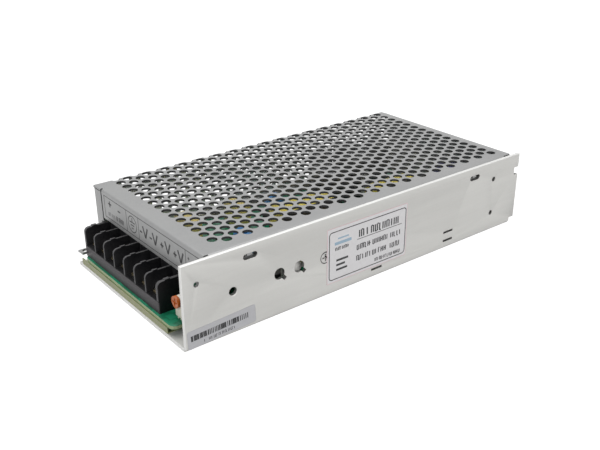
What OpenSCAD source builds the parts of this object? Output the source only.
// Enclosed DC power supply in a folded chassis with a perforated cover.
// The drawing runs from the case's lower corner: x from the terminal end,
// y from the plain side wall, z from the table. place() centres it.

/* [Case] */
// Overall length of the case
case_l = 199; // [180:1:230]
// Overall width of the case
case_w = 98; // [88:1:120]
// Overall height of the case
case_h = 38; // [36:0.5:50]
// Thickness of the chassis sheet
chassis_t = 1.6; // [1.4:0.1:2]
// Outside radius of the chassis folds
chassis_bend_r = 2.2; // [2.1:0.1:3]
// Height of the chassis rear wall
rear_wall_h = 34; // [20:1:35]
// Height of the lip that carries the cover's side
lip_h = 8; // [7:0.5:9]

/* [Cover] */
// Thickness of the cover sheet
cover_t = 1; // [0.8:0.1:1.1]
// Outside radius of the cover folds
cover_bend_r = 1.2; // [1.2:0.1:2]
// Distance of the cover's front from the terminal end
cover_front = 11.5; // [10:0.5:13]
// Height of the sign flange above the terminals
flange_h = 14.2; // [10:0.2:14.8]
// Width of the front return on the cover's side
return_w = 7.2; // [6:0.2:9]
// Depth of the cover's inner lip along the plain wall
cover_lip_h = 7.4; // [6.5:0.1:10]
// Depth of the cover's rear flange
rear_flange_h = 12; // [8:0.5:20]

/* [Mesh] */
// Hole pitch across the case
mesh_pitch = 9.6; // [8:0.1:14]
// Pitch of the hole rows along the case
mesh_step = 8.1; // [7:0.1:12]
// Width of a mesh hole across its corners
mesh_hole_d = 7.2; // [4:0.1:7.4]
// Plain margin of the mesh at the front and the rear
mesh_margin_x = 7; // [4:0.5:14]
// Plain margin of the mesh along its side edges
mesh_margin_y = 4.4; // [4:0.1:10]

/* [Circuit board] */
// Thickness of the circuit board
board_t = 1.6; // [1.2:0.1:2]
// Height of the standoffs under the circuit board
standoff_h = 2.8; // [2.2:0.1:3]
// Clearance between the circuit board and the lip
board_gap = 3.4; // [1:0.1:8]
// Clearance between the circuit board and the rear wall
board_rear_gap = 5.6; // [1:0.1:12]
// Radius of the circuit board's front corners
board_corner_r = 3; // [1:0.5:4]
// Thickness of the insulation sheet
sheet_t = 0.4; // [0.2:0.1:0.5]

/* [Terminal block] */
// Distance between two terminals
term_pitch = 9.5; // [9:0.1:9.6]
// Thickness of the partitions
rib_t = 1.1; // [1:0.1:1.8]
// Depth of the terminal block from front to back
block_d = 14.5; // [13:0.5:15]
// Height of the terminal block's foot
block_foot_h = 5.6; // [5:0.1:6]
// Full height of the terminal block
block_h = 14.5; // [14:0.1:15.4]
// Diameter of the clamp screw's shank
clamp_screw_d = 3.4; // [2.8:0.1:3.6]
// Thickness of the contact plates
plate_t = 0.9; // [0.6:0.1:1]
// Thickness of the square clamp washers
washer_t = 0.8; // [0.6:0.1:1]

/* [Components] */
// Height of the transformer above the circuit board
transformer_h = 25; // [20:0.5:27]
// Height of the output inductor above the circuit board
inductor_h = 24; // [18:0.5:27]
// Diameter of the input capacitors
input_cap_d = 16; // [12:0.5:18]
// Height of the input capacitors
input_cap_h = 25; // [16:0.5:27]
// Diameter of the output capacitors
output_cap_d = 12.5; // [10:0.5:14]
// Height of the output capacitors
output_cap_h = 25; // [16:0.5:27]
// Height of the rectifier heatsink
heatsink_h = 24; // [20:0.5:26]
// Thickness of the rectifier heatsink
heatsink_t = 2.5; // [2:0.1:3]

/* [Hidden] */

round_fn = 48;          // facets of a preview circle
eps = 0.01;             // overcut of a through hole
screw_gap = 0.05;       // radial clearance of a screw in its hole
loose_gap = 0.3;        // clearance between neighbours that don't touch

// heights, from the table up
base_top = chassis_t;
board_bottom = base_top + standoff_h;
board_top = board_bottom + board_t;
cover_top = case_h - 0.2;
cover_under = cover_top - cover_t;

// widths, from the plain wall
wall_in = chassis_t;
cover_right = wall_in + loose_gap;
lip_out = case_w - cover_t;
lip_in = lip_out - chassis_t;
board_left = lip_in - board_gap;
sheet_left = lip_in - 0.9;

// lengths, from the terminal end
rear_in = case_l - chassis_t;
cover_back = rear_in - 1.4;
board_x = 0.8;
board_back = rear_in - board_rear_gap;
board_l = board_back - board_x;

// plain wall: small holes, slots and their heights
wall_hole_z = 28.6;
tap_hole_r = 1.25;
wall_hole_front = 6.4;
wall_hole_rear_gap = 19;
low_hole_z = 10.4;
side_mount_x = 22.9;
side_mount_z = 19.8;
side_mount_r = 1.7;
side_mount_chamfer = 0.4;
hook_z = 32.9;
hook_x = [28.2, 162];
hook_slot_l = 6.9;
hook_slot_r = 1.3;
tongue_l = 2.6;
tongue_h = 1.3;
access_x = [45.9, 56.2];
access_z = 20;
access_r = 2.65;
notch_l = 2.2;
notch_w = 1.7;
notch_r = access_r - 0.3;
low_slot_x = [97.8, 145.3];
low_slot_z = [4.6, 9.1];
low_slot_l = 6.6;
low_slot_h = 1.2;
rear_notch_z = 27;
rear_notch_h = 4;
rear_notch_d = 3;
corner_relief = 3.3;

// base: tapped mounting holes
base_mount_x = 24.5;
base_mount_dx = 150;
base_mount_y = 24;
base_mount_dy = 50;
base_mount_r = 1.65;

// screws
m3_r = 1.45;
m3_head_r = 2.75;
m3_head_h = 1.8;
csk_head_r = 2.9;
csk_depth = 1.5;
cross_w = 0.8;
cross_l = 3.4;
cross_d = 1;
cover_screw_x = [34, 165];
cover_screw_z = 4.6;
cover_screw_l = 4;

// side foot tab of the cover
tab_l = 9.5;
tab_w = 5.2;
tab_top = board_top + 1.6;
tab_hole_x = 2.6;
tab_hole_r = 1.5;

// circuit board supports
standoff_r = 2.7;
standoff_shank_r = 2.1;
standoff_bore_r = m3_r + screw_gap;

// terminal block
terminals = 7;
block_x = 2;
block_end_t = 1.7;
block_l = terminals*term_pitch - rib_t + 2*block_end_t;
block_end = case_w - tab_w - loose_gap - 0.1;
block_y = block_end - block_l;
rib_round_r = 2.2;
block_back_t = 1.5;
block_top = board_top + block_h;
floor_z = board_top + block_foot_h;
nub_x = 3.6;
nub_l = 2.4;
nub_h = 0.5;
plate_l = 9;
plate_w = term_pitch - rib_t - 1;
plate_x = block_x + 2.6;
clamp_x = block_x + 6.8;
washer_w = 6.8;
clamp_head_r = 3;
clamp_head_h = 2.2;
clamp_reach = 4.6;
clamp_slot_w = 1;
clamp_slot_l = 4.4;
clamp_slot_d = 1.1;
pin_w = 1.2;

// circuit board, its plain side partway between the wall and the block
board_share = 0.45;
board_y = wall_in + board_share*(block_y - wall_in);
board_w = board_left - board_y;
sheet_y = board_y + 3.5;

// along_board() keeps a place's share of the board's length, near_wall() its
// distance from the board's plain side and near_side() its distance from the case's side
board_share_x = board_l/191;
function along_board(x) = board_x + (x - board_x)*board_share_x;
function near_wall(x, y) = [along_board(x), board_y + y];
function near_side(x, y) = [along_board(x), case_w - y];
support_front_x = block_x + block_d + standoff_r + 1.3;
support_at = [[support_front_x, case_w - 10.5], near_wall(30, 5.5), near_side(104, 12),
    near_wall(110, 5.5), near_side(184, 12), near_wall(184, 5.5)];

// trimmer beside the terminal block
trimmer_x = 5.6;
trimmer_y = board_y + 2.7;
trimmer_z = board_top + 9.2;
trimmer_w = 5;
trimmer_t = 2.2;
trimmer_lift = 1.8;
rotor_r = 2.6;
rotor_t = 1.4;
rotor_shaft_r = 1.1;
leg_w = 0.8;

// component places
led_at = [15.5, board_y + 5.5];
led_r = 1.5;
fuse_at = near_side(34, 14);
fuse_l = 20;
fuse_r = 2.6;
fuse_lift = 2;
transformer_at = near_wall(84, 21.5);
transformer_l = 30;
transformer_w = 24;
transformer_leg = 6;
coil_over = 3.4;
inductor_at = near_wall(136, 16.5);
inductor_l = 25;
inductor_w = 18;
inductor_leg = 5;
choke_at = near_wall(36, 18.5);
choke_r = 9.5;
choke_hole_r = 4.5;
choke_h = 8;
choke_lift = 1.2;
winding_t = 1.3;
input_cap_at = [near_side(121, 39), near_side(145, 36)];
output_cap_at = [near_side(133, 19), near_side(152, 17), near_side(170, 24)];
cap_groove_r = 0.5;
snubber_at = near_wall(178, 18.5);
snubber_r = 6.5;
snubber_h = 26;
film_at = [near_side(48, 22), near_side(77, 21)];
film_l = 15;
film_w = 7;
film_h = 13;
disc_at = [near_wall(62, 38.5), near_wall(60, 30.5), near_side(98, 24)];
disc_r = 5;
disc_t = 3.2;
disc_lift = 2.5;
wall_part_x = [along_board(70.6), along_board(96)];
wall_part_z = 19.6;
part_w = 10;
part_body_h = 9.2;
part_tab_h = 6.3;
part_tab_t = 1.3;
part_t = 4.5;
part_leg_gap = 2.54;
pad_t = 0.3;
heatsink_l = 18;
heatsink_x = along_board(150);
heatsink_y = board_y + 1.5;
fin_pitch = 6;
fin_depth = 4;
fin_t = 1.2;
rectifier_lift = 17;
nut_r = 3.1;
nut_h = 2.4;
chip_at = near_wall(60, 7);
chip_l = 19;
chip_w = 6.4;
chip_t = 3.4;
chip_lift = 0.6;
opto_at = [near_side(92, 38), near_side(92, 28)];
opto_l = 4.6;
resistor_at = [near_wall(106, 32.5), near_wall(106, 26.5), near_side(24, 42)];
ceramic_x = along_board(57.8);
ceramic_y = wall_in + 1.6;
ceramic_r = 2.4;
ceramic_l = 12;
ceramic_lift = 10;
resistor_l = 11;
resistor_r = 2;
resistor_lift = 1;

// labels on the plain wall
label_t = 0.1;
label_x = 71.3;
label_z = 5.8;
label_l = 48;
label_h = 26.4;
sticker_x = 1.1;
sticker_z = chassis_bend_r - 1.2;
sticker_l = 32.4;
sticker_h = 8.2;
sticker_tilt = 2.4;

module place() {
    translate([-case_l/2, -(case_w - label_t)/2, 0]) children();
}

// a section in Y and Z, drawn out along X
module along_x(from, to) {
    translate([from, 0, 0]) rotate([90, 0, 90]) linear_extrude(to - from) children();
}

// a section in X and Z, drawn out along Y
module along_y(from, to) {
    translate([0, to, 0]) rotate([90, 0, 0]) linear_extrude(to - from) children();
}

// the quarter ring of a fold, about the origin, in the first quadrant
module fold(r, t) {
    intersection() {
        difference() {
            circle(r, $fn = round_fn);
            circle(r - t, $fn = round_fn);
        }
        square(r);
    }
}

// a round hole along Y
module y_hole(x, z, r, from, to) {
    translate([x, to, z]) rotate([90, 0, 0]) cylinder(r = r, h = to - from, $fn = round_fn);
}

// a slot with round ends in X and Z, its left end at x
module slot(x, z, l, r) {
    translate([x + r, z - r]) square([l - 2*r, 2*r]);
    for (dx = [r, l - r]) translate([x + dx, z]) circle(r, $fn = round_fn);
}

// a countersunk screw along +Z, its head's face at the origin and its shank below
module csk_screw(length) {
    difference() {
        union() {
            translate([0, 0, -csk_depth])
                cylinder(r1 = m3_r, r2 = csk_head_r, h = csk_depth, $fn = round_fn);
            translate([0, 0, -length]) cylinder(r = m3_r, h = length - csk_depth, $fn = round_fn);
        }
        cross_recess();
    }
}

// its hole, with clearance
module csk_hole(length) {
    translate([0, 0, -csk_depth])
        cylinder(r1 = m3_r + screw_gap, r2 = csk_head_r + screw_gap, h = csk_depth, $fn = round_fn);
    translate([0, 0, -length])
        cylinder(r = m3_r + screw_gap, h = length - csk_depth + eps, $fn = round_fn);
    cylinder(r = csk_head_r + screw_gap, h = 1, $fn = round_fn);
}

// the cross recess of a screw head whose face is at the origin
module cross_recess() {
    for (turn = [0, 90]) rotate([0, 0, turn])
        translate([-cross_l/2, -cross_w/2, -cross_d]) cube([cross_l, cross_w, cross_d + 1]);
}

// a pan head screw along +Z, the underside of its head at the origin
module pan_screw(length) {
    difference() {
        union() {
            cylinder(r = m3_head_r, h = m3_head_h, $fn = round_fn);
            translate([0, 0, -length]) cylinder(r = m3_r, h = length, $fn = round_fn);
        }
        translate([0, 0, m3_head_h]) cross_recess();
    }
}

module chassis() color("gainsboro") place() {
    r = chassis_bend_r;
    t = chassis_t;
    lip_x0 = tab_l + 2;
    lip_x1 = case_l - corner_relief - 1;
    difference() {
        union() {
            // flat of the base
            translate([0, r, 0]) cube([case_l - r, lip_out - 2*r, t]);
            translate([0, lip_out - r - eps, 0]) cube([lip_x0 - 1, r + eps, t]);
            // fold and plain wall
            along_x(0, case_l) {
                translate([r, r]) rotate([0, 0, 180]) fold(r, t);
                translate([0, r]) square([t, case_h - r]);
            }
            // fold and lip under the cover's side
            along_x(lip_x0, lip_x1) {
                translate([lip_out - r, r]) rotate([0, 0, 270]) fold(r, t);
                translate([lip_in, r]) square([t, lip_h - r]);
            }
            // fold and rear wall
            along_y(corner_relief, lip_out - corner_relief) {
                translate([case_l - r, r]) rotate([0, 0, 270]) fold(r, t);
                translate([rear_in, r]) square([t, rear_wall_h - r]);
            }
        }
        // corner relief and notch at the rear edge of the plain wall
        translate([case_l - corner_relief, -eps, -eps])
            cube([corner_relief + 1, corner_relief + eps, corner_relief]);
        translate([case_l - rear_notch_d, -eps, rear_notch_z])
            cube([rear_notch_d + 1, t + 2*eps, rear_notch_h]);
        // tapped holes in the plain wall
        y_hole(wall_hole_front, wall_hole_z, tap_hole_r, -eps, t + eps);
        y_hole(case_l - wall_hole_rear_gap, wall_hole_z, tap_hole_r, -eps, t + eps);
        y_hole(case_l - wall_hole_rear_gap, low_hole_z, tap_hole_r, -eps, t + eps);
        y_hole(side_mount_x, side_mount_z, side_mount_r, -eps, t + eps);
        translate([side_mount_x, 0, side_mount_z]) rotate([-90, 0, 0]) translate([0, 0, -eps])
            cylinder(r1 = side_mount_r + side_mount_chamfer, r2 = side_mount_r,
                h = side_mount_chamfer, $fn = round_fn);
        // slots that the cover's tongues hook into
        along_y(-eps, t + eps) for (x = hook_x) slot(x, hook_z, hook_slot_l, hook_slot_r);
        // access holes, each with a notch at its lower right
        for (x = access_x) {
            y_hole(x, access_z, access_r, -eps, t + eps);
            translate([x, 0, access_z]) rotate([0, 45, 0])
                translate([notch_r, -eps, -notch_w/2]) cube([notch_l, t + 2*eps, notch_w]);
        }
        // pairs of low slots
        for (x = low_slot_x) for (z = low_slot_z)
            translate([x, -eps, z - low_slot_h/2]) cube([low_slot_l, t + 2*eps, low_slot_h]);
        // countersunk holes of the transistor screws
        for (x = wall_part_x) translate([x, 0, wall_part_z]) rotate([90, 0, 0]) csk_hole(t + 1);
        // countersunk holes of the cover screws
        for (x = cover_screw_x) translate([x, case_w, cover_screw_z]) rotate([-90, 0, 0])
            csk_hole(cover_t + t + 1);
        // holes in the base: tapped mounting holes and standoff seats
        for (x = [base_mount_x, base_mount_x + base_mount_dx])
            for (y = [base_mount_y, base_mount_y + base_mount_dy])
                translate([x, y, -eps]) cylinder(r = base_mount_r, h = t + 2*eps, $fn = round_fn);
        for (p = support_at) translate([p[0], p[1], -eps])
            cylinder(r = standoff_shank_r, h = t + 2*eps, $fn = round_fn);
    }
}

// Hole places along a strip of the mesh. The rows run across the case, every
// other one half a pitch further, and carry on over the fold.
mesh_l = cover_back - cover_front;
mesh_rows = floor((mesh_l - 2*mesh_margin_x - mesh_hole_d)/mesh_step);
mesh_x0 = cover_front + (mesh_l - mesh_rows*mesh_step)/2;
function mesh_first(row) = mesh_margin_y + mesh_hole_d/2 + (row % 2)*mesh_pitch/2;

// holes between two distances from the cover's inner edge, measured round the fold
module mesh_holes(from, to) {
    for (row = [0:mesh_rows]) {
        first = mesh_first(row);
        k0 = ceil((from + mesh_hole_d/2 - first)/mesh_pitch);
        k1 = floor((to - mesh_hole_d/2 - first)/mesh_pitch);
        for (k = [max(0, k0):1:k1])
            translate([mesh_x0 + row*mesh_step, first + k*mesh_pitch])
                rotate([0, 0, 22.5]) circle(mesh_hole_d/2, $fn = 8);
    }
}

module mesh_cover() color("darkgray") place() {
    r = cover_bend_r;
    t = cover_t;
    top_w = case_w - cover_right;
    side_h = cover_top - 0.5;
    lip_x0 = cover_front + 2.4;
    lip_x1 = cover_back - 6.4;
    flange_left = case_w - return_w - 1;
    tab_in = case_w - tab_w;
    return_z = tab_top + 1.4;
    return_step_z = block_top + nub_h + loose_gap;
    return_low_y = block_end + loose_gap;
    difference() {
        union() {
            // perforated top
            translate([0, cover_right, cover_under]) linear_extrude(t) difference() {
                union() {
                    translate([cover_front + r, r]) square([mesh_l - 2*r, top_w - 2*r]);
                    translate([cover_front + r, 0]) square([lip_x0 - cover_front - r - 0.6, r + eps]);
                    translate([lip_x1 + 0.6, 0]) square([cover_back - lip_x1 - 0.6, r + eps]);
                    translate([cover_front, flange_left - cover_right + 1])
                        square([r + eps, return_w]);
                }
                mesh_holes(r, top_w - r);
            }
            // perforated side
            translate([0, case_w, cover_top]) rotate([90, 0, 0]) linear_extrude(t) mirror([0, 1])
                difference() {
                    translate([cover_front + r, r]) square([mesh_l - r, side_h - r]);
                    translate([0, -top_w]) mesh_holes(top_w + r, top_w + side_h - lip_h - 1);
                }
            // fold between the top and the side
            along_x(cover_front + r, cover_back)
                translate([case_w - r, cover_top - r]) fold(r, t);
            // fold and lip inside the plain wall
            along_x(lip_x0, lip_x1) {
                translate([cover_right + r, cover_top - r]) rotate([0, 0, 90]) fold(r, t);
                translate([cover_right, cover_top - cover_lip_h]) square([t, cover_lip_h - r]);
            }
            // tongues that hook into the plain wall
            for (x = hook_x)
                translate([x + (hook_slot_l - tongue_l)/2, cover_right - 1.5, hook_z])
                    cube([tongue_l, 1.5 + eps, tongue_h - 0.15]);
            // fold and sign flange above the terminals
            along_y(cover_right + 1, flange_left) {
                translate([cover_front + r, cover_top - r]) rotate([0, 0, 90]) fold(r, t);
                translate([cover_front, cover_top - flange_h]) square([t, flange_h - r]);
            }
            // fold and rear flange
            along_y(cover_right + 2, lip_in - 1) {
                translate([cover_back - r, cover_top - r]) fold(r, t);
                translate([cover_back - t, cover_top - rear_flange_h]) square([t, rear_flange_h - r]);
            }
            // front return of the side, folded round an upright edge, narrower beside the block
            translate([0, 0, return_z]) linear_extrude(cover_under - return_z - 0.1) {
                translate([cover_front + r, case_w - r]) rotate([0, 0, 90]) fold(r, t);
                translate([cover_front, return_low_y]) square([t, case_w - r - return_low_y]);
            }
            translate([cover_front, case_w - return_w, return_step_z])
                cube([t, return_w - r, cover_under - return_step_z - 0.1]);
            // low strip of the side that runs forward, and its foot tab
            translate([r, case_w - t, 0.5]) cube([cover_front + 0.1, t, tab_top - r - 0.5]);
            along_x(0.2, tab_l) {
                translate([case_w - r, tab_top - r]) fold(r, t);
                translate([tab_in, tab_top - t]) square([tab_w - r, t]);
            }
        }
        // room for the tab's front part, which stands clear of the strip below it
        translate([-1, case_w - t - eps, -1]) cube([6.2, t + 1, tab_top - r + 1]);
        translate([tab_hole_x, (tab_in + case_w - r)/2, tab_top - t - eps])
            cylinder(r = tab_hole_r, h = t + 2*eps, $fn = round_fn);
        for (x = cover_screw_x) translate([x, case_w, cover_screw_z]) rotate([-90, 0, 0])
            csk_hole(cover_t + 1);
    }
}

module cover_screws() color("silver") place() {
    for (x = cover_screw_x) translate([x, case_w, cover_screw_z]) rotate([-90, 0, 0])
        csk_screw(cover_screw_l);
}

// a film on the base, folded up in front of the circuit board's underside
module insulation_sheet() color("darkkhaki") place() {
    difference() {
        union() {
            translate([board_x, sheet_y, base_top]) cube([board_l - 1, sheet_left - sheet_y, sheet_t]);
            translate([board_x - sheet_t, sheet_y, base_top])
                cube([sheet_t + eps, sheet_left - sheet_y, standoff_h - 0.1]);
        }
        for (p = support_at) translate([p[0], p[1], base_top - eps])
            cylinder(r = standoff_r + loose_gap, h = sheet_t + 2*eps, $fn = round_fn);
        for (x = [base_mount_x, base_mount_x + base_mount_dx])
            for (y = [base_mount_y, base_mount_y + base_mount_dy])
                translate([x, y, base_top - eps])
                    cylinder(r = base_mount_r + 1, h = sheet_t + 2*eps, $fn = round_fn);
    }
}

module circuit_board() color("seagreen") place() {
    r = board_corner_r;
    translate([board_x, board_y, board_bottom]) linear_extrude(board_t) difference() {
        union() {
            translate([r, 0]) square([board_l - r, board_w]);
            translate([0, r]) square([r + eps, board_w - 2*r]);
            for (y = [r, board_w - r]) translate([r, y]) circle(r, $fn = round_fn);
        }
        for (p = support_at) translate([p[0] - board_x, p[1] - board_y])
            circle(m3_r + loose_gap, $fn = round_fn);
    }
}

module standoffs() color("silver") place() {
    for (p = support_at) translate([p[0], p[1], 0]) difference() {
        union() {
            cylinder(r = standoff_shank_r, h = base_top + eps, $fn = round_fn);
            translate([0, 0, base_top]) cylinder(r = standoff_r, h = standoff_h, $fn = round_fn);
        }
        translate([0, 0, -eps])
            cylinder(r = standoff_bore_r, h = board_bottom + 2*eps, $fn = round_fn);
    }
}

module board_screws() color("silver") place() {
    for (p = support_at) translate([p[0], p[1], board_top]) pan_screw(board_t + standoff_h);
}

// centre of terminal i, counted from the plain wall
function term_y(i) = block_y + block_l/2 + (i - (terminals + 1)/2)*term_pitch;

module terminal_block() color([0.1, 0.1, 0.11]) place() {
    r = rib_round_r;
    depth = block_d;
    difference() {
        union() {
            // foot
            translate([block_x, block_y, board_top]) cube([depth, block_l, block_foot_h]);
            // back wall
            translate([block_x + depth - block_back_t, block_y, floor_z - eps])
                cube([block_back_t, block_l, block_h - block_foot_h + eps]);
            // end walls and partitions, each with a nub
            for (i = [0:terminals]) {
                y0 = i == 0 ? block_y : term_y(i) + (term_pitch - rib_t)/2;
                y1 = i == terminals ? block_y + block_l : term_y(i + 1) - (term_pitch - rib_t)/2;
                along_y(y0, y1) {
                    translate([block_x + r, floor_z - eps])
                        square([depth - r, block_h - block_foot_h + eps]);
                    translate([block_x, floor_z - eps]) square([r + eps, block_top - r - floor_z + eps]);
                    translate([block_x + r, block_top - r]) circle(r, $fn = round_fn);
                    translate([block_x + nub_x, block_top - eps]) square([nub_l, nub_h + eps]);
                }
            }
        }
        // pocket below each clamp screw and slot of each solder pin
        for (i = [1:terminals]) {
            translate([clamp_x, term_y(i), floor_z - clamp_reach])
                cylinder(r = clamp_screw_d/2 + loose_gap, h = clamp_reach + eps, $fn = round_fn);
            translate([plate_x + plate_l - 1 - loose_gap/2, term_y(i) - (pin_w + loose_gap)/2,
                board_top - eps])
                cube([1 + loose_gap, pin_w + loose_gap, block_foot_h + 2*eps]);
        }
    }
}

module terminal_plates() color("gold") place() {
    for (i = [1:terminals]) translate([0, term_y(i), 0]) difference() {
        union() {
            translate([plate_x, -plate_w/2, floor_z]) cube([plate_l, plate_w, plate_t]);
            translate([plate_x + plate_l - 1, -pin_w/2, board_top])
                cube([1, pin_w, block_foot_h + eps]);
        }
        translate([clamp_x, 0, floor_z - eps])
            cylinder(r = clamp_screw_d/2 + screw_gap, h = plate_t + 2*eps, $fn = round_fn);
    }
}

clamp_z = floor_z + plate_t;

module clamp_washer(i) color("silver") place() {
    translate([clamp_x, term_y(i), clamp_z]) difference() {
        translate([-washer_w/2, -washer_w/2, 0]) cube([washer_w, washer_w, washer_t]);
        translate([0, 0, -eps])
            cylinder(r = clamp_screw_d/2 + screw_gap, h = washer_t + 2*eps, $fn = round_fn);
    }
}

module terminal_screw(i) color("silver") place() {
    reach = washer_t + plate_t + clamp_reach - 0.6;
    translate([clamp_x, term_y(i), clamp_z + washer_t]) difference() {
        union() {
            cylinder(r = clamp_head_r, h = clamp_head_h, $fn = round_fn);
            translate([0, 0, -reach]) cylinder(r = clamp_screw_d/2, h = reach + eps, $fn = round_fn);
        }
        for (turn = [0, 90]) rotate([0, 0, turn])
            translate([-clamp_slot_l/2, -clamp_slot_w/2, clamp_head_h - clamp_slot_d])
                cube([clamp_slot_l, clamp_slot_w, clamp_slot_d + 1]);
    }
}

module trimmer_body() color("antiquewhite") place() {
    translate([trimmer_x, trimmer_y, board_top]) difference() {
        union() {
            translate([0, -trimmer_w/2, trimmer_lift])
                cube([trimmer_t, trimmer_w, trimmer_z - board_top - trimmer_lift]);
            translate([0, 0, trimmer_z - board_top]) rotate([0, 90, 0])
                cylinder(r = trimmer_w/2, h = trimmer_t, $fn = round_fn);
            for (y = [-trimmer_w/2, -leg_w/2, trimmer_w/2 - leg_w])
                translate([leg_w, y, 0]) cube([0.6, leg_w, trimmer_lift + eps]);
        }
        translate([-eps, 0, trimmer_z - board_top]) rotate([0, 90, 0])
            cylinder(r = rotor_shaft_r + screw_gap, h = trimmer_t + 2*eps, $fn = round_fn);
    }
}

module trimmer_rotor() color("darkorange") place() {
    translate([trimmer_x, trimmer_y, trimmer_z]) rotate([0, 90, 0]) difference() {
        union() {
            translate([0, 0, -rotor_t]) cylinder(r = rotor_r, h = rotor_t, $fn = round_fn);
            translate([0, 0, -eps]) cylinder(r = rotor_shaft_r, h = trimmer_t, $fn = round_fn);
        }
        for (turn = [0, 90]) rotate([0, 0, turn])
            translate([-rotor_r*0.7, -0.4, -rotor_t - 1]) cube([rotor_r*1.4, 0.8, 1.6]);
    }
}

module status_led() color("lime") place() {
    translate([led_at[0], led_at[1], board_top]) {
        cylinder(r = led_r + 0.3, h = 0.8, $fn = round_fn);
        cylinder(r = led_r, h = 3.6, $fn = round_fn);
        translate([0, 0, 3.6]) intersection() {
            sphere(led_r, $fn = round_fn);
            translate([-2*led_r, -2*led_r, 0]) cube([4*led_r, 4*led_r, 2*led_r]);
        }
    }
}

module input_fuse() color("ivory") place() {
    translate([fuse_at[0] - fuse_l/2, fuse_at[1], board_top + fuse_lift + fuse_r]) rotate([0, 90, 0])
        cylinder(r = fuse_r, h = fuse_l, $fn = round_fn);
}

// spring clips: a foot on the board and a cradle that the fuse lies in
module fuse_clips() color("silver") place() {
    for (x = [fuse_at[0] - fuse_l/2 + 0.5, fuse_at[0] + fuse_l/2 - 5.5])
        translate([x, fuse_at[1] - fuse_r - 0.8, board_top]) difference() {
            cube([5, 2*fuse_r + 1.6, fuse_lift + 1.6*fuse_r]);
            translate([-eps, fuse_r + 0.8, fuse_lift + fuse_r]) rotate([0, 90, 0])
                cylinder(r = fuse_r, h = 5 + 2*eps, $fn = round_fn);
            translate([-eps, 0.8 + 0.3*fuse_r, fuse_lift + fuse_r])
                cube([5 + 2*eps, 1.4*fuse_r, 2*fuse_r]);
        }
}

// a closed ferrite frame round its coil: two end legs, a top and a bottom yoke
module core(at, l, w, h, leg, lift) {
    translate([at[0] - l/2, at[1] - w/4, board_top + lift]) difference() {
        cube([l, w/2, h - lift]);
        translate([leg, -eps, leg*0.7]) cube([l - 2*leg, w/2 + 2*eps, h - lift - 1.4*leg]);
    }
}

// a taped coil that fills the core's window and stands out on both sides, on its pin foot
module coil(at, l, w, h, leg, lift, over) {
    window_h = h - lift - 1.4*leg;
    translate([at[0], at[1], board_top + lift + leg*0.7]) union() {
        translate([-l/2 + leg, -w/4, 0]) cube([l - 2*leg, w/2, window_h]);
        for (side = [-1, 1]) translate([-l/2 + leg - over/2, side > 0 ? w/4 : -w/2, 0.6])
            cube([l - 2*leg + over, w/4, window_h - 1.2]);
    }
    for (side = [-1, 1]) translate([at[0] - l/2 + leg, side > 0 ? at[1] + w/4 : at[1] - w/2, board_top])
        cube([l - 2*leg, w/4, lift + leg*0.7 + 0.7]);
}

core_lift = 1.5;

module transformer_core() color("dimgray") place() {
    core(transformer_at, transformer_l, transformer_w, transformer_h, transformer_leg, core_lift);
}

module transformer_coil() color("khaki") place() {
    coil(transformer_at, transformer_l, transformer_w, transformer_h, transformer_leg,
        core_lift, coil_over);
}

module inductor_core() color("dimgray") place() {
    core(inductor_at, inductor_l, inductor_w, inductor_h, inductor_leg, core_lift);
}

module inductor_coil() color("khaki") place() {
    coil(inductor_at, inductor_l, inductor_w, inductor_h, inductor_leg, core_lift, coil_over);
}

module choke_core() color("green") place() {
    translate([choke_at[0], choke_at[1], board_top + choke_lift + winding_t]) difference() {
        cylinder(r = choke_r, h = choke_h, $fn = round_fn);
        translate([0, 0, -eps]) cylinder(r = choke_hole_r, h = choke_h + 2*eps, $fn = round_fn);
    }
}

// two half windings, each one closed solid round the core, on two wire ends
module choke_winding() color("peru") place() {
    t = winding_t;
    difference() {
        translate([choke_at[0], choke_at[1], board_top + choke_lift]) difference() {
            cylinder(r = choke_r + t, h = choke_h + 2*t, $fn = round_fn);
            translate([0, 0, -eps])
                cylinder(r = choke_hole_r - t, h = choke_h + 2*t + 2*eps, $fn = round_fn);
            translate([0, 0, t]) difference() {
                cylinder(r = choke_r + screw_gap, h = choke_h, $fn = round_fn);
                translate([0, 0, -eps])
                    cylinder(r = choke_hole_r - screw_gap, h = choke_h + 2*eps, $fn = round_fn);
            }
        }
        translate([choke_at[0] - 2, choke_at[1] - 2*choke_r, board_top]) cube([4, 4*choke_r, 4*choke_h]);
    }
    for (side = [-1, 1]) for (dy = [-3, 3])
        translate([choke_at[0] + side*6, choke_at[1] + dy, board_top])
            cylinder(r = 0.5, h = choke_lift + eps, $fn = round_fn);
}

// a standing capacitor in its sleeve, with a groove above its foot
module can(at, r, h) {
    translate([at[0], at[1], board_top]) rotate_extrude($fn = round_fn) difference() {
        translate([0, 0]) square([r, h]);
        translate([r, 2.2]) circle(cap_groove_r, $fn = round_fn);
        translate([0, h - 0.4]) square([r - 1.4, 1]);
    }
}

module input_capacitors() color([0.15, 0.15, 0.17]) place() {
    for (p = input_cap_at) can(p, input_cap_d/2, input_cap_h);
}

module output_capacitors() color([0.12, 0.14, 0.2]) place() {
    for (p = output_cap_at) can(p, output_cap_d/2, output_cap_h);
}

module snubber_capacitor() color("slateblue") place() {
    can(snubber_at, snubber_r, snubber_h);
}

module film_capacitors() color("khaki") place() {
    for (p = film_at) translate([p[0] - film_w/2, p[1] - film_l/2, board_top])
        cube([film_w, film_l, film_h]);
}

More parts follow.
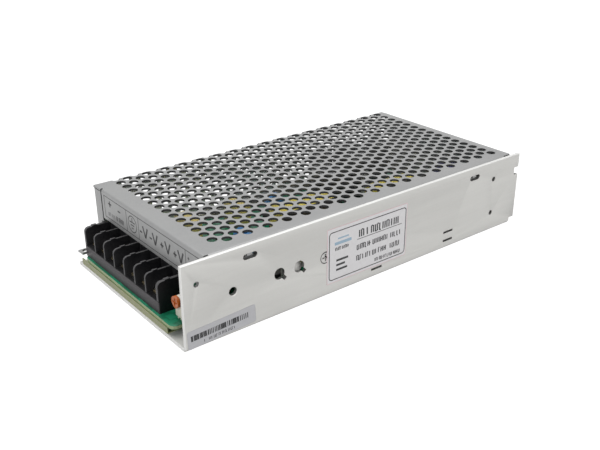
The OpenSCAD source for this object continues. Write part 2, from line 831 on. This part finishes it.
// upright discs on two leads
module ceramic_capacitors() color("steelblue") place() {
    for (p = disc_at) translate([p[0], p[1], board_top]) {
        translate([0, disc_t/2, disc_lift + disc_r]) rotate([90, 0, 0])
            cylinder(r = disc_r, h = disc_t, $fn = round_fn);
        for (dx = [-2.5, 2.5]) translate([dx, 0, 0])
            cylinder(r = 0.35, h = disc_lift + 1.4, $fn = round_fn);
    }
}

// A flat power part: its metal back at y = 0, its tab hole at z = 0 and its body below.
// The three legs run out of its foot, forward by reach, and down to the board.
module power_part(reach, drop) {
    body_z = -part_tab_h/2 - part_body_h;
    difference() {
        union() {
            translate([-part_w/2, 0, -part_tab_h/2]) cube([part_w, part_tab_t, part_tab_h]);
            translate([-part_w/2, 0, body_z]) cube([part_w, part_t, part_body_h + eps]);
        }
        y_hole(0, 0, m3_r + loose_gap, -eps, part_tab_t + eps);
    }
    for (dx = [-part_leg_gap, 0, part_leg_gap]) translate([dx - leg_w/2, part_t/2, 0]) {
        translate([0, 0, body_z - 0.6]) cube([leg_w, 0.6, 0.6 + eps]);
        translate([0, 0, body_z - 0.6]) cube([leg_w, reach, 0.6]);
        translate([0, reach - 0.6, -drop]) cube([leg_w, 0.6, drop + body_z - 0.6 + eps]);
    }
}

module wall_transistors() color([0.2, 0.2, 0.21]) place() {
    for (x = wall_part_x) translate([x, wall_in + pad_t, wall_part_z])
        power_part(board_y + 2 - wall_in - pad_t - part_t/2, wall_part_z - board_top);
}

module insulating_pads() color("lightgray") place() {
    for (x = wall_part_x) difference() {
        translate([x - part_w/2 - 1, wall_in, wall_part_z - part_tab_h/2 - part_body_h - 0.5])
            cube([part_w + 2, pad_t, part_tab_h + part_body_h + 1]);
        y_hole(x, wall_part_z, m3_r + loose_gap, wall_in - eps, wall_in + pad_t + eps);
    }
}

// countersunk screws through the plain wall, each with its nut on the part's tab
module wall_screws() color("silver") place() {
    for (x = wall_part_x) {
        translate([x, 0, wall_part_z]) rotate([90, 0, 0])
            csk_screw(wall_in + pad_t + part_tab_t + nut_h + 0.6);
        translate([x, wall_in + pad_t + part_tab_t, wall_part_z]) rotate([-90, 0, 0]) difference() {
            cylinder(r = nut_r, h = nut_h, $fn = 6);
            translate([0, 0, -eps]) cylinder(r = m3_r + screw_gap, h = nut_h + 2*eps, $fn = round_fn);
        }
    }
}

module heatsink() color("silver") place() {
    translate([heatsink_x, heatsink_y, board_top]) cube([heatsink_l, heatsink_t, heatsink_h]);
    for (i = [1:3]) translate([heatsink_x, heatsink_y - fin_depth, board_top + heatsink_h - i*fin_pitch])
        cube([heatsink_l, fin_depth + eps, fin_t]);
}

module rectifiers() color([0.2, 0.2, 0.21]) place() {
    translate([heatsink_x + heatsink_l/2, heatsink_y + heatsink_t, board_top + rectifier_lift])
        power_part(part_t/2 + 0.6, rectifier_lift);
}

module control_chip() color([0.13, 0.13, 0.14]) place() {
    chip(chip_at, chip_l, chip_w, 8);
}

module optocouplers() color([0.16, 0.16, 0.17]) place() {
    for (p = opto_at) chip(p, opto_l, chip_w, 2);
}

// a moulded chip on two rows of legs
module chip(at, l, w, legs) {
    pitch = 2.3;
    translate([at[0] - l/2, at[1] - w/2, board_top + chip_lift]) cube([l, w, chip_t]);
    for (i = [0:legs - 1]) for (side = [-1, 1])
        translate([at[0] + (i - (legs - 1)/2)*pitch - 0.3, at[1] + side*(w/2 + 0.3) - 0.3, board_top])
            cube([0.6, 0.6, chip_lift + chip_t/2]);
}

// resistors lying on two bent leads
module power_resistors() color("tan") place() {
    for (p = resistor_at) translate([p[0], p[1], board_top]) {
        translate([-resistor_l/2, 0, resistor_lift + resistor_r]) rotate([0, 90, 0])
            cylinder(r = resistor_r, h = resistor_l, $fn = round_fn);
        for (side = [-1, 1]) translate([side*(resistor_l/2 + 1) - 0.3, -0.3, 0])
            cube([0.6, 0.6, resistor_lift + resistor_r + 0.3]);
        for (x = [-resistor_l/2 - 1, resistor_l/2 - eps])
            translate([x, -0.3, resistor_lift + resistor_r - 0.3]) cube([1 + eps, 0.6, 0.6]);
    }
}

// a ceramic tube across the gap beside the wall, on two leads
module ceramic_resistor() color("white") place() {
    translate([ceramic_x, ceramic_y, board_top + ceramic_lift + ceramic_r]) rotate([-90, 0, 0])
        cylinder(r = ceramic_r, h = ceramic_l, $fn = round_fn);
    for (y = [board_y + 1, ceramic_y + ceramic_l - 1])
        translate([ceramic_x - 0.3, y, board_top]) cube([0.6, 0.6, ceramic_lift + 1]);
}

module rating_label() color("whitesmoke") place() {
    translate([label_x, -label_t, label_z]) cube([label_l, label_t, label_h]);
}

module barcode_sticker() color("lightgray") place() {
    translate([sticker_x, -label_t, sticker_z]) rotate([0, -sticker_tilt, 0])
        cube([sticker_l, label_t, sticker_h]);
}

chassis();
mesh_cover();
cover_screws();
insulation_sheet();
circuit_board();
standoffs();
board_screws();
terminal_block();
terminal_plates();
clamp_washer(1);  // clamp_washer_1
clamp_washer(2);  // clamp_washer_2
clamp_washer(3);  // clamp_washer_3
clamp_washer(4);  // clamp_washer_4
clamp_washer(5);  // clamp_washer_5
clamp_washer(6);  // clamp_washer_6
clamp_washer(7);  // clamp_washer_7
terminal_screw(1);  // terminal_screw_1
terminal_screw(2);  // terminal_screw_2
terminal_screw(3);  // terminal_screw_3
terminal_screw(4);  // terminal_screw_4
terminal_screw(5);  // terminal_screw_5
terminal_screw(6);  // terminal_screw_6
terminal_screw(7);  // terminal_screw_7
trimmer_body();
trimmer_rotor();
status_led();
input_fuse();
fuse_clips();
transformer_core();
transformer_coil();
inductor_core();
inductor_coil();
choke_core();
choke_winding();
input_capacitors();
output_capacitors();
snubber_capacitor();
film_capacitors();
ceramic_capacitors();
wall_transistors();
insulating_pads();
wall_screws();
heatsink();
rectifiers();
control_chip();
optocouplers();
power_resistors();
ceramic_resistor();
rating_label();
barcode_sticker();
